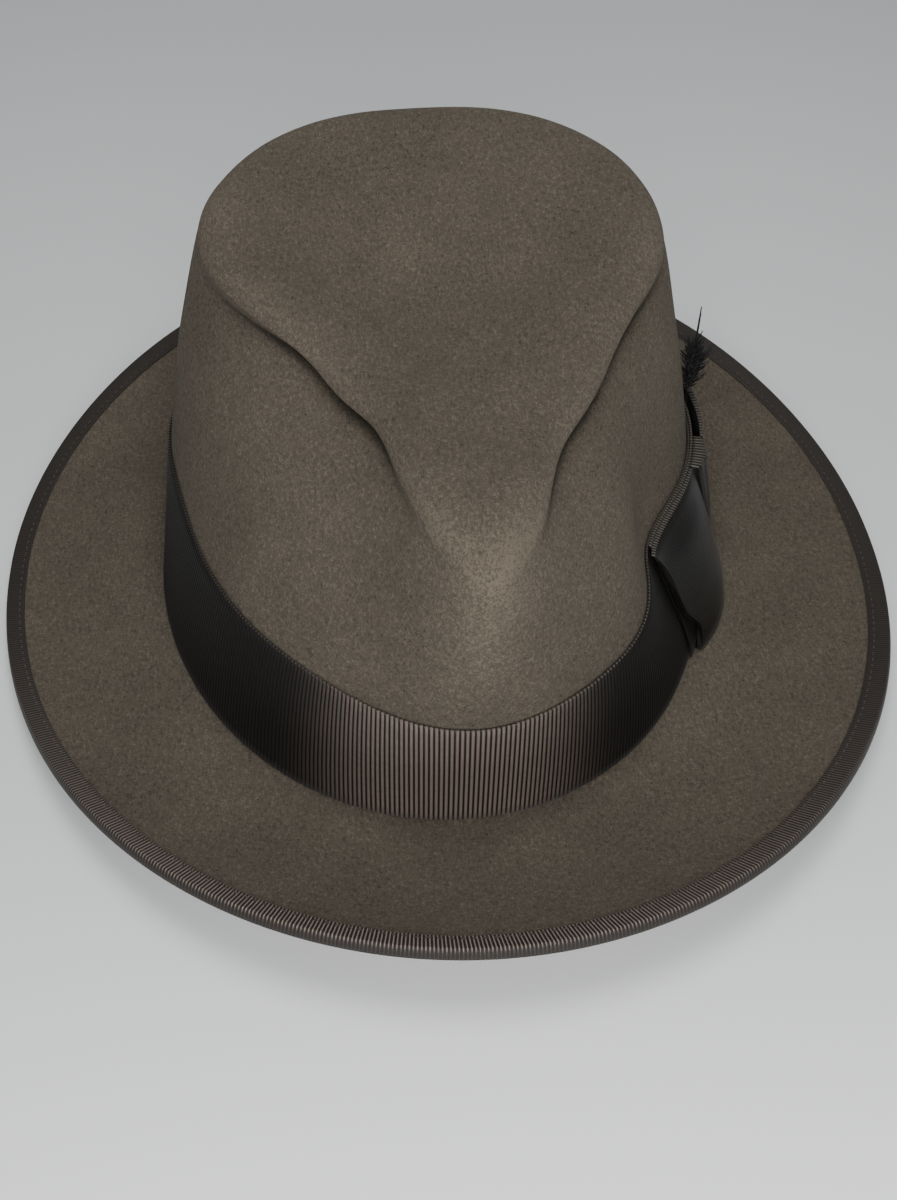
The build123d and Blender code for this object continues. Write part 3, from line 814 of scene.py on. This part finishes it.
@dataclass
class RibbonBand:
    """The wide ribbed ribbon round the foot of the crown."""

    low: float = 0.6
    rib_pitch: float = 1.35
    rib_depth: float = 0.22
    columns_per_rib: int = 4
    finish: RibbedRibbon = field(default_factory=lambda: RibbedRibbon("grosgrain", "band_grosgrain"))

    def build(self) -> bpy.types.Object:
        """Builds the band."""
        high = SHAPE.band_height
        face, back = -GAP - RIBBON, -GAP

        def ring(t: Array, height: Array, depth: Array) -> Array:
            return SHAPE.on_crown(t, SHAPE.band_station * height / high, depth)

        t = np.linspace(-math.pi, math.pi, 2001)
        run = float(np.linalg.norm(np.diff(ring(t, 19.0 + 0 * t, face + 0 * t), axis=0), axis=1).sum())
        ribs = round(run / self.rib_pitch)
        heights = np.linspace(self.low, high, 14)
        rows = np.array([(h, face) for h in heights] + [(high + 0.05, -0.5), (high - 0.1, back), (30.0, back), (20.0, back),
                        (10.0, back), (self.low, back), (self.low - 0.1, -0.5), (self.low, face)])
        base = section_place(rows, ring, lambda a: SHAPE.even_angles(a, lambda t: ring(t, 19.0 + 0 * t, face + 0 * t)))
        knots = np.linspace(0, 1, len(rows))

        def place(a: Array, b: Array) -> Array:
            depth = np.interp(b, knots, rows[:, 1])
            lift = np.where(depth < -0.45, self.rib_depth * (np.abs(np.sin(math.pi * a * ribs)) ** 0.8 - 0.6), 0)
            points = base(a, b)
            out = points - np.array([SHAPE.shift_x, SHAPE.widest_y, 0.0])
            out[:, 2] = 0
            out /= np.linalg.norm(out, axis=1, keepdims=True)
            points = points + out * lift[:, None]
            height = np.interp(b, knots, rows[:, 0])
            points[:, 2] += np.where(height > high - 1, 0.16 * np.abs(np.sin(math.pi * a * ribs)), 0)
            return points

        def lay(a: Array, b: Array) -> Array:
            return np.stack([a * ribs, np.interp(b, knots, rows[:, 0])], -1)

        # Painted sheen across the band's front, where the front light catches the cords.
        def rub(a: Array, b: Array) -> Array:
            angle = SHAPE.degrees(SHAPE.even_angles(a, lambda t: ring(t, 19.0 + 0 * t, face + 0 * t)))
            return np.clip(np.exp(-np.abs((angle + 2.0) / 19.0) ** 3.6), 0, 1)

        bm = bmesh.new()
        lay_skin(bm, ribs * self.columns_per_rib, len(rows) - 1, place, lay, {"rub": rub})
        close_up(bm)
        band = finish_piece(link("grosgrain_band", bm, self.finish.make()), Body.HAT, self.finish.slot, ["ribbon_band"])
        return band


@dataclass
class BrimBinding:
    """The ribbon folded over the brim's edge, and its stitches."""

    lap: float = 5.2
    cloth: float = 0.35
    rib_pitch: float = 1.0
    rib_depth: float = 0.10
    columns_per_rib: int = 3
    stitch_pitch: float = 2.9
    finish: RibbedRibbon = field(default_factory=lambda: RibbedRibbon(
        "binding", "binding_grosgrain", cord=(0.034, 0.029, 0.026), sheen_colour=(0.330, 0.275, 0.240),
        groove_shade=(0.026, 0.021, 0.0185), edges=(0.0, 16.9), line=(0.70, 0.99)))
    thread: ThreadFinish = field(default_factory=lambda: ThreadFinish("binding_thread", "binding_sewing",
                                                                      (0.075, 0.062, 0.052)))

    def edge_angles(self, share: Array) -> Array:
        """Angles evenly spaced along the brim's edge."""
        return SHAPE.even_angles(share, lambda t: SHAPE.on_brim(t, 1.0 + 0 * t, 0 * t))

    def build(self) -> list[bpy.types.Object]:
        """Builds the binding and its row of stitches."""
        f, width = SHAPE.thickness, SHAPE.brim_width
        skin = GAP + self.cloth
        inner = 1 - self.lap / width
        across = np.linspace(inner, 1.0, 7)
        turn = np.linspace(-90, 90, 9)[1:-1]
        round_u = 1 + (skin / width) * np.cos(np.radians(turn))
        round_d = f / 2 + (f / 2 + skin) * np.sin(np.radians(turn))
        rows = np.array([(inner - 0.004, -GAP), (inner - 0.004, -skin + 0.2)] + [(u, -skin) for u in across]
                        + list(zip(round_u, round_d)) + [(u, f + skin) for u in across[::-1]]
                        + [(inner - 0.004, f + skin - 0.2), (inner - 0.004, f + GAP), (1.0, f + GAP), (1.0, -GAP),
                           (inner - 0.004, -GAP)])
        knots = np.linspace(0, 1, len(rows))
        run = float(np.linalg.norm(np.diff(SHAPE.on_brim(np.linspace(-math.pi, math.pi, 2001), 1.0, 0.0), axis=0),
                                   axis=1).sum())
        ribs = round(run / self.rib_pitch)
        spread = np.concatenate([[0.0], np.cumsum(np.hypot(np.diff(rows[:, 0]) * width, np.diff(rows[:, 1])))])
        base = section_place(rows, SHAPE.on_brim, self.edge_angles)

        def place(a: Array, b: Array) -> Array:
            depth = np.interp(b, knots, rows[:, 1])
            outside = (depth < -GAP - 0.1) | (depth > f + GAP + 0.1) | (np.interp(b, knots, rows[:, 0]) > 1.004)
            wave = self.rib_depth * (np.abs(np.sin(math.pi * a * ribs)) ** 0.8 - 0.6)
            flip = np.where(depth < f / 2, 1.0, -1.0)
            points = base(a, b)
            points[:, 2] += np.where(outside, wave * flip, 0)
            return points

        def lay(a: Array, b: Array) -> Array:
            return np.stack([a * ribs, np.interp(b, knots, spread)], -1)

        # Painted sheen on the binding's front, strongest on its upper lap, where the light catches the cords.
        def rub(a: Array, b: Array) -> Array:
            angle = SHAPE.degrees(self.edge_angles(a))
            top = np.clip((0.6 - np.interp(b, knots, rows[:, 1])) / 1.2, 0, 1)
            return np.clip(1.1 * np.exp(-np.abs((angle + 10.0) / 42.0) ** 2.6) * top + 0.06, 0, 1)

        bm = bmesh.new()
        lay_skin(bm, ribs * self.columns_per_rib, len(rows) - 1, place, lay, {"rub": rub})
        close_up(bm)
        binding = finish_piece(link("edge_binding", bm, self.finish.make()), Body.HAT, self.finish.slot, ["brim_binding"])
        return [binding, self.stitches(run)]

    def stitches(self, run: float) -> bpy.types.Object:
        """The stitches just inside the binding's edge, one small grain of thread each."""
        count = round(run / self.stitch_pitch)
        t = self.edge_angles(np.arange(count) / count)
        u = 1 - (self.lap - 1.3) / SHAPE.brim_width
        here = SHAPE.on_brim(t, u, -GAP - self.cloth - 0.16)
        ahead = SHAPE.on_brim(t + 0.004, u, -GAP - self.cloth - 0.16) - here
        bm = bmesh.new()
        for point, way in zip(here, ahead):
            turn = Vector(way).to_track_quat("X", "Z").to_matrix().to_4x4()
            size = Matrix.Diagonal((0.95, 0.21, 0.19, 1.0)) * MM
            size[3][3] = 1.0
            bmesh.ops.create_icosphere(bm, subdivisions=1, radius=1.0, matrix=Matrix.Translation(Vector(point) * MM) @ turn @ size)
        return finish_piece(link("binding_stitches", bm, self.thread.make()), Body.HAT, self.thread.slot, ["binding_thread"])


@dataclass
class HeadSide:
    """What the wearer sees inside: sweatband with its reed, stitches and tiny bow, and the satin lining."""

    lining_depth: float = 2.5
    lining: float = 0.5
    sweat_depth: float = 3.3
    leather: float = 1.2
    sweat_foot: float = 0.18
    sweat_head: float = 2.333
    wall: SatinFinish = field(default_factory=lambda: SatinFinish("lining_satin", "lining_wall", (0.26, 0.20, 0.125)))
    tip: SatinFinish = field(default_factory=lambda: SatinFinish("lining_tip", "lining_top", (0.29, 0.225, 0.145)))
    bow: SatinFinish = field(default_factory=lambda: SatinFinish("bow_satin", "rear_bow_satin", (0.055, 0.030, 0.020)))
    hide: LeatherFinish = field(default_factory=LeatherFinish)
    reed: ThreadFinish = field(default_factory=lambda: ThreadFinish("reed_tape", "reed_cord", (0.050, 0.036, 0.026)))
    thread: ThreadFinish = field(default_factory=lambda: ThreadFinish("thread", "sweatband_sewing", (0.30, 0.22, 0.13)))
    piping: ThreadFinish = field(default_factory=lambda: ThreadFinish("piping", "lining_cord", (0.17, 0.125, 0.075)))

    def turn(self, share: Array) -> Array:
        """Angles all the way round from the back."""
        return 2 * math.pi * share - math.pi

    def ring_of(self, s: float, depth: float, radius: float, sides: int = 8, around: int = 420) -> bmesh.types.BMesh:
        """A cord round the inside of the crown."""
        def place(a: Array, b: Array) -> Array:
            t = self.turn(a)
            centre = SHAPE.on_crown(t, s + 0 * t, depth + 0 * t)
            out = centre * np.array([1.0, 1.0, 0.0])
            out /= np.linalg.norm(out, axis=1, keepdims=True)
            angle = 2 * math.pi * b
            twist = radius * (1 + 0.08 * np.sin(a * 2 * math.pi * 260 + angle))
            return centre + out * (twist * np.cos(angle))[:, None] + np.outer(twist * np.sin(angle), (0, 0, 1.0))
        bm = bmesh.new()
        lay_skin(bm, around, sides, place)
        close_up(bm)
        return bm

    def skin(self, name: str, low: float, high: float, near: float, far: float, rows: int, columns: int,
             relief: Callable[[Array, Array], Array]) -> bmesh.types.BMesh:
        """A closed strip on the crown's inner wall, with a relief of its inner face towards the head."""
        levels = np.linspace(low, high, rows)
        section = np.array([(s, far) for s in levels] + [(high + 0.02, (near + far) / 2)] + [(s, near) for s in levels[::-1]]
                           + [(low - 0.02, (near + far) / 2), (low, far)])
        knots = np.linspace(0, 1, len(section))

        def place(a: Array, b: Array) -> Array:
            t, s = self.turn(a), np.interp(b, knots, section[:, 0])
            depth = np.interp(b, knots, section[:, 1])
            depth = depth + np.where(depth > (near + far) / 2 + 1e-6, relief(a, (s - low) / (high - low)), 0)
            return SHAPE.on_crown(t, s, depth)

        def lay(a: Array, b: Array) -> Array:
            return np.stack([a * 560, np.interp(b, knots, section[:, 0]) * 19], -1)
        bm = bmesh.new()
        lay_skin(bm, columns, len(section) - 1, place, lay)
        close_up(bm)
        return bm

    def pleats(self, a: Array, up: Array) -> Array:
        """Soft gathers of the satin."""
        wave = np.sin(a * 2 * math.pi * 46 + 3 * np.sin(a * 2 * math.pi * 5)) * 0.5 + 0.5
        return 0.35 * wave ** 2 * np.sin(np.clip(up, 0, 1) * math.pi) + 0.10

    def build(self) -> list[bpy.types.Object]:
        """Builds everything inside the crown."""
        made = []
        bm = self.skin("sweatband", self.sweat_foot, self.sweat_head, self.sweat_depth,
                       self.sweat_depth + self.leather, 16, 300,
                       lambda a, up: 0.12 * np.sin(a * 2 * math.pi * 9) * up + 0.25 * np.exp(-((up - 0.06) / 0.03) ** 2) * 0.6)
        leather = finish_piece(link("sweatband_hide", bm, self.hide.make()), Body.HAT, self.hide.slot, ["sweatband"])
        made.append(leather)
        bm = self.ring_of(SHAPE.band_station * 1.6 / SHAPE.band_height, self.sweat_depth + 0.4, 0.9)
        made.append(finish_piece(link("sweatband_cord", bm, self.reed.make()), Body.HAT, self.reed.slot, ["sweatband_reed"]))
        made.append(self.sweatband_stitches())
        made.append(self.rear_bow())
        bm = self.skin("lining_wall", 1.0, 6.0, self.lining_depth, self.lining_depth + self.lining, 34, 460, self.pleats)
        wall = finish_piece(link("satin_wall", bm, self.wall.make()), Body.HAT, self.wall.slot, ["lining_side"])
        made.append(wall)
        made.append(self.satin_top())
        bm = self.ring_of(6.3, self.lining_depth + 1.0, 0.6)
        made.append(finish_piece(link("seam_piping", bm, self.piping.make()), Body.HAT, self.piping.slot, ["lining_piping"]))
        return made

    def satin_top(self) -> bpy.types.Object:
        """The satin top of the lining, with wrinkles that run in from the seam."""
        low, high = 6.7, SHAPE.pole
        near, far = self.lining_depth, self.lining_depth + self.lining

        def place(a: Array, b: Array) -> Array:
            t = self.turn(a)
            out = b < 0.5
            s = np.where(out, high - (high - low) * b * 2, low + (high - low) * (b - 0.5) * 2)
            ruck = 0.30 * (np.sin(a * 2 * math.pi * 38) * 0.5 + 0.5) ** 2 * np.clip((high - s) / (high - low), 0, 1)
            depth = np.where(out, near, far + ruck)
            return SHAPE.on_crown(t, s, depth)

        def lay(a: Array, b: Array) -> Array:
            return np.stack([a * 420, np.abs(b - 0.5) * 160], -1)
        bm = bmesh.new()
        lay_skin(bm, 320, 61, place, lay)
        close_up(bm)
        top = finish_piece(link("satin_top", bm, self.tip.make()), Body.HAT, self.tip.slot, ["lining_tip"])
        return top

    def sweatband_stitches(self) -> bpy.types.Object:
        """Slanting stitches along the sweatband's lower edge."""
        count = 190
        t = self.turn(np.arange(count) / count)
        depth = self.sweat_depth + self.leather + 0.22
        here = SHAPE.on_crown(t, self.sweat_foot + 0.1 + 0 * t, depth + 0 * t)
        ahead = SHAPE.on_crown(t + 0.012, self.sweat_foot + 0.13 + 0 * t, depth + 0 * t) - here
        bm = bmesh.new()
        for point, way in zip(here, ahead):
            turn = Vector(way).to_track_quat("X", "Z").to_matrix().to_4x4()
            size = Matrix.Diagonal((1.1, 0.24, 0.24, 1.0)) * MM
            size[3][3] = 1.0
            bmesh.ops.create_icosphere(bm, subdivisions=1, radius=1.0, matrix=Matrix.Translation(Vector(point) * MM) @ turn @ size)
        return finish_piece(link("sweatband_stitches", bm, self.thread.make()), Body.HAT, self.thread.slot, ["sweatband_thread"])

    def rear_bow(self) -> bpy.types.Object:
        """The tiny satin bow at the sweatband's rear seam: two drooping loops and a knot."""
        centre = SHAPE.on_wall(np.array([180.0]), np.array([20.0]), np.array([-(self.sweat_depth + self.leather + 1.2)]))[0]
        bm = bmesh.new()
        for side in (-1.0, 1.0):
            def place(a: Array, b: Array, side: float = side) -> Array:
                loop = 2 * math.pi * a
                x = side * (0.9 + 3.1 * (1 - np.cos(loop)))
                y = 0.62 * np.sin(loop) * np.minimum(1, (x * side) / 3)
                z = (b - 0.5) * (2.2 + 0.42 * np.abs(x)) - 0.04 * x * x
                return centre + np.stack([x, y, z], -1)
            lay_skin(bm, 28, 6, place, lambda a, b: np.stack([a * 16, b * 4], -1))

        def knot(a: Array, b: Array) -> Array:
            angle = 2 * math.pi * a
            return centre + np.stack([1.05 * np.cos(angle), 0.78 * np.sin(angle), (b - 0.5) * 3.4], -1)
        lay_skin(bm, 20, 5, knot, lambda a, b: np.stack([a * 6, b * 4], -1))
        close_up(bm)
        bow = link("rear_satin_bow", bm, self.bow.make())
        wall = bow.modifiers.new("cloth", "SOLIDIFY")
        wall.thickness = 0.25 * MM
        return finish_piece(bow, Body.HAT, self.bow.slot, ["sweatband_bow"])


@dataclass
class SideBow:
    """The flat bow on the wearer's left: carrier strip, two folded loops, knot and tack threads."""

    low: float = 1.0
    high: float = 38.5
    front: float = 50.0
    middle: float = 88.0
    rear: float = 128.0
    knot_half: float = 5.0
    rib_pitch: float = 1.35
    ribbon: RibbedRibbon = field(default_factory=lambda: RibbedRibbon(
        "bow_ribbon", "bow_grosgrain", cord=(0.017, 0.0155, 0.015), sheen_colour=(0.115, 0.105, 0.095),
        selvedge=(0.26, 0.24, 0.20), edges=(0.0, 37.5), rib_depth=0.06, roughness=0.30))
    thread: ThreadFinish = field(default_factory=lambda: ThreadFinish("thread", "tack_thread", (0.030, 0.028, 0.027)))

    def panel(self, name: str, nodes: Sequence[str], start: float, end: float, section: Array,
              reach: Callable[[Array, Array, Array], Array], lean: Callable[[Array, Array], Array],
              material: bpy.types.Material, columns: int = 90) -> bpy.types.Object:
        """A closed length of ribbon on the wall.

        Args:
            name: The piece's name.
            nodes: The nodes that it stands for.
            start: Its front end, in degrees from the front.
            end: Its rear end.
            section: Its section's points: share up, and 0 on the felt's side to 1 on the outer side.
            reach: Gives the distance out from the felt by share along, share up and side.
            lean: Gives degrees to add by share along and share up.
            material: Its finish.
            columns: Faces along it.

        Returns:
            The piece.
        """
        knots = np.linspace(0, 1, len(section))
        span = self.high - self.low

        def place(a: Array, b: Array) -> Array:
            up, side = np.interp(b, knots, section[:, 0]), np.interp(b, knots, section[:, 1])
            angle = start + (end - start) * a + lean(a, up)
            return SHAPE.on_wall(angle, self.low + span * up, reach(a, up, side))

        def lay(a: Array, b: Array) -> Array:
            ribs = (end - start) * math.radians(1) * 88 / self.rib_pitch
            return np.stack([a * ribs, np.interp(b, knots, section[:, 0]) * span], -1)

        # Painted highlight on the front loop's lower middle, where the light catches the ribbon.
        def rub(a: Array, b: Array) -> Array:
            angle = start + (end - start) * a
            up = np.interp(b, knots, section[:, 0])
            return 0.08 + 0.75 * np.exp(-((angle - 72) / 7) ** 2 - ((up - 0.36) / 0.20) ** 2)
        bm = bmesh.new()
        lay_skin(bm, columns, len(section) - 1, place, lay, {"rub": rub})
        bmesh.ops.remove_doubles(bm, verts=bm.verts, dist=2e-6)
        bmesh.ops.holes_fill(bm, edges=[e for e in bm.edges if e.is_boundary])
        close_up(bm)
        piece = finish_piece(link(name, bm, material), Body.HAT, self.ribbon.slot, nodes)
        return piece

    def build(self) -> list[bpy.types.Object]:
        """Builds the bow."""
        material = self.ribbon.make()
        ups = np.linspace(0, 1, 15)
        section = np.array([(u, 1.0) for u in ups] + [(1.0, 0.66), (1.0, 0.33)] + [(u, 0.0) for u in ups[::-1]]
                           + [(0.0, 0.33), (0.0, 0.66), (0.0, 1.0)])
        strip_near, strip_far = 2 * GAP + RIBBON + 0.1, 2 * GAP + 2 * RIBBON + 0.1
        near = strip_far + GAP
        made = [self.panel("bow_carrier", ["bow_back_strip"], self.front + 3, self.rear - 3, section,
                           lambda a, up, side: strip_near + (strip_far - strip_near) * side,
                           lambda a, up: 0 * a, material)]

        def front_reach(a: Array, up: Array, side: Array) -> Array:
            swell = 0.9 + 4.9 * np.sin(np.clip(a, 0, 1) * math.pi) ** 0.8 * (0.5 + 0.5 * np.sin(math.pi * (0.25 + 0.7 * up)))
            swell = swell * (1 - 0.88 * np.exp(-((1 - up) / 0.13) ** 2))
            gape = 1.0 * np.exp(-a / 0.10) * np.sin(math.pi * np.clip(up, 0, 1))
            return near + gape + (0.75 + swell) * side

        def front_lean(a: Array, up: Array) -> Array:
            return (1 - a) * (7.5 * (1 - up) ** 1.1 + 1.3 * np.sin(math.pi * 3.0 * up) - 2.0 * np.exp(-up / 0.06))
        made.append(self.panel("bow_loop_front", ["bow_front_loop"], self.front, self.middle - self.knot_half - 0.4,
                               section, front_reach, front_lean, material, 120))

        def rear_reach(a: Array, up: Array, side: Array) -> Array:
            clear = near + 1.0 + 1.2 * up
            return clear + (0.8 + 0.9 * np.sin(math.pi * np.clip(a, 0, 1))) * side
        made.append(self.panel("bow_loop_rear", ["bow_rear_loop"], self.middle + self.knot_half + 0.4, self.rear, section,
                               rear_reach, lambda a, up: 1.5 * a * np.sin(math.pi * up), material, 110))

        def knot_reach(a: Array, up: Array, side: Array) -> Array:
            waist = 1 - 0.10 * np.sin(math.pi * up)
            return near + (4.0 * waist - 1.6 * (2 * a - 1) ** 2 + 0.2 * np.sin(a * math.pi * 5)) * side
        made.append(self.panel("bow_wrap", ["bow_knot"], self.middle - self.knot_half, self.middle + self.knot_half,
                               section, knot_reach, lambda a, up: 0 * a, material, 40))
        made.append(self.tacks(near + 4.0))
        return made

    def tacks(self, reach: float) -> bpy.types.Object:
        """Thread bars that hold the knot's edges."""
        bm = bmesh.new()
        for height in (self.low + 3, self.high - 4):
            for angle in (self.middle - 2.5, self.middle + 1.0):
                ends = np.linspace(angle, angle + 1.5, 5)
                rise = reach - 0.1 + 0.15 * np.sin(np.linspace(0, math.pi, 5))
                tube(bm, SHAPE.on_wall(ends, height + 0 * ends, rise), np.array([0.12, 0.24, 0.25, 0.24, 0.12]))
        close_up(bm)
        return finish_piece(link("bow_tacks", bm, self.thread.make()), Body.HAT, self.thread.slot, ["bow_tack_threads"])


@dataclass
class Feather:
    """The small dark feather that is tucked behind the bow's rear loop."""

    foot_angle: float = 107.0
    foot_height: float = 12.0
    aim: tuple[float, float, float] = (-0.015, 0.03, 1.0)
    length: float = 45.0
    web_start: float = 29.0
    web_length: float = 15.0
    shaft: FeatherFinish = field(default_factory=lambda: FeatherFinish("quill", "feather_shaft", (0.030, 0.022, 0.018),
                                                                       (0.085, 0.065, 0.050)))
    web: FeatherFinish = field(default_factory=lambda: FeatherFinish("feather", "feather_web", (0.0012, 0.0012, 0.0016),
                                                                     (0.0035, 0.0036, 0.0050), 0.6))

    def axis(self) -> tuple[Array, Array, Array, Array]:
        """The quill's foot and direction, the way across the web and the way it faces."""
        foot = SHAPE.on_wall(np.array([self.foot_angle]), np.array([self.foot_height]), np.array([1.9 + 0.5 + 0.7]))[0]
        aim = np.array(self.aim) / np.linalg.norm(self.aim)
        across = np.cross(np.array([0.866, -0.5, 0.0]), aim)
        across /= np.linalg.norm(across)
        return foot, aim, across, np.cross(across, aim)

    def build(self) -> list[bpy.types.Object]:
        """Builds shaft, web and loose barbs."""
        foot, aim, across, face = self.axis()
        bm = bmesh.new()
        runs = np.linspace(0, self.length, 24)
        tube(bm, foot + np.outer(runs, aim), 0.72 - 0.45 * (runs / self.length) ** 1.5, 8)
        close_up(bm)
        shaft = finish_piece(link("feather_shaft", bm, self.shaft.make()), Body.FEATHER, self.shaft.slot, ["feather_quill"])
        dark = self.web.make()
        rng = np.random.default_rng(7)
        bm = bmesh.new()
        def core(a: Array, b: Array) -> Array:
            width = 0.35 + 3.2 * np.sin(math.pi * np.clip(b * 1.04, 0, 1)) ** 0.7 * (0.65 + 0.5 * b)
            angle = 2 * math.pi * a
            ragged = 1 + 0.16 * np.sin(angle * 9 + b * 30) * np.sin(b * 41)
            run = self.web_start - 2 + (self.web_length + 1) * b
            return (foot + np.outer(run, aim) + np.outer(np.cos(angle), across) * (width * ragged)[:, None]
                    + np.outer(np.sin(angle), face) * (0.55 * width * ragged)[:, None])
        lay_skin(bm, 24, 20, core)
        bmesh.ops.remove_doubles(bm, verts=bm.verts, dist=2e-6)
        bmesh.ops.holes_fill(bm, edges=[e for e in bm.edges if e.is_boundary])
        bmesh.ops.recalc_face_normals(bm, faces=bm.faces)
        for k in range(260):
            along = k / 260
            run = self.web_start - 1 + self.web_length * along
            side = -1.0 if k % 2 else 1.0
            turn = rng.normal(0, 0.6)
            way = side * (across * math.cos(turn) + face * math.sin(turn))
            reach = (3.2 + 3.2 * math.sin(math.pi * along ** 0.8)) * rng.uniform(0.75, 1.15)
            steps = np.linspace(0, 1, 5)
            line = foot + aim * run + np.outer(steps * reach, way) + np.outer(steps ** 1.5 * reach * 0.9, aim)
            tube(bm, line, 0.30 * (1 - 0.65 * steps), 4)
        web = finish_piece(link("feather_tuft", bm, dark), Body.FEATHER, self.web.slot, ["feather_vane"])
        bm = bmesh.new()
        spikes = ((-0.8, 0.0, 16.0, 0.35), (1.2, 0.9, 14.0, 0.5), (4.6, 1.6, 8.5, 2.4), (5.2, 1.2, 6.5, 3.0), (4.0, 0.6, 4.5, 2.8),
                  (-2.0, 0.3, 7.0, 1.0), (-2.8, -0.4, 5.0, 1.4))
        for reach, front, rise, bend in spikes:
            steps = np.linspace(0, 1, 7)
            start = foot + aim * (self.web_start + self.web_length - 1.5)
            out = across * reach * 0.6 + np.array([1.0, 0.2, 0.0]) * max(reach, 0) * 0.55 + face * front * 0.2
            line = start + np.outer(steps * rise, aim) + np.outer(steps ** 1.4, out) * (0.7 + 0.2 * bend)
            tube(bm, line, 0.42 * (1 - 0.55 * steps), 6)
        barbs = finish_piece(link("feather_spikes", bm, dark), Body.FEATHER, self.web.slot, ["feather_barbs"])
        return [shaft, web, barbs]


@dataclass
class Studio:
    """Pale table, soft light and the camera."""

    azimuth: float = -6.2
    elevation: float = 47.0
    roll: float = 1.4
    distance: float = 430.0
    slide_up: float = -13.5
    lens: float = 39.0
    floor: FloorFinish = field(default_factory=FloorFinish)

    def build(self) -> None:
        """Sets the stage."""
        bm = bmesh.new()
        bmesh.ops.create_grid(bm, x_segments=4, y_segments=4, size=4.0)
        table = link("table_top", bm, self.floor.make())
        self.world()
        self.light("front_window", (-0.04, -0.70, 0.42), (0.0, -0.22, 0.0), 0.40, 2.0, (1.0, 0.985, 0.955))
        self.light("table_front", (-0.02, -0.52, 0.24), (-0.02, -0.50, 0.0), 0.30, 1.2, (1.0, 1.0, 0.99))
        self.light("lamp_above", (0.0, -0.02, 0.62), (0.0, -0.02, 0.0), 0.30, 1.5, (1.0, 0.985, 0.955))
        self.light("ceiling", (0.10, 0.25, 1.5), (0.0, 0.0, 0.0), 0.9, 2.6, (0.96, 0.985, 1.0))
        self.camera()

    def world(self) -> None:
        """Even grey light from all round."""
        world = bpy.data.worlds.new("soft_room")
        world.use_nodes = True
        back = world.node_tree.nodes["Background"]
        back.inputs[0].default_value = (0.93, 0.97, 1.0, 1.0)
        back.inputs[1].default_value = 0.17
        bpy.context.scene.world = world

    def light(self, name: str, place: Sequence[float], target: Sequence[float], size: float, power: float,
              colour: Colour) -> None:
        """Adds a square soft light in metres and watts."""
        data = bpy.data.lights.new(name, "AREA")
        data.size, data.energy, data.color = size, power, colour
        lamp = bpy.data.objects.new(name, data)
        lamp.location = place
        lamp.rotation_mode = "QUATERNION"
        lamp.rotation_quaternion = (Vector(target) - Vector(place)).to_track_quat("-Z", "Y")
        bpy.context.scene.collection.objects.link(lamp)

    def camera(self) -> None:
        """Sets the camera in front of the hat, looking down on it."""
        a, e, r = math.radians(self.azimuth), math.radians(self.elevation), math.radians(self.roll)
        back = Vector((math.sin(a) * math.cos(e), -math.cos(a) * math.cos(e), math.sin(e)))
        right = (-back).cross(Vector((0, 0, 1))).normalized()
        up = right.cross(-back)
        right, up = right * math.cos(r) + up * math.sin(r), up * math.cos(r) - right * math.sin(r)
        place = (back * self.distance + up * self.slide_up + Vector((0, 0, SHAPE.floor))) * MM
        data = bpy.data.cameras.new("camera")
        data.lens, data.sensor_width, data.clip_start, data.clip_end = self.lens, 36.0, 0.01, 50.0
        camera = bpy.data.objects.new("camera", data)
        camera.matrix_world = Matrix((right, up, back)).transposed().to_4x4()
        camera.location = place
        bpy.context.scene.collection.objects.link(camera)
        bpy.context.scene.camera = camera


def main() -> None:
    """Builds the hat piece by piece."""
    logging.basicConfig(level=logging.INFO, format="%(name)s %(message)s")
    for part in (FeltBody(), RibbonBand(), BrimBinding(), HeadSide(), SideBow(), Feather()):
        part.build()
        LOG.info("%s done", type(part).__name__)
    Studio().build()
    bpy.context.view_layer.update()


if __name__ == "__main__":
    main()
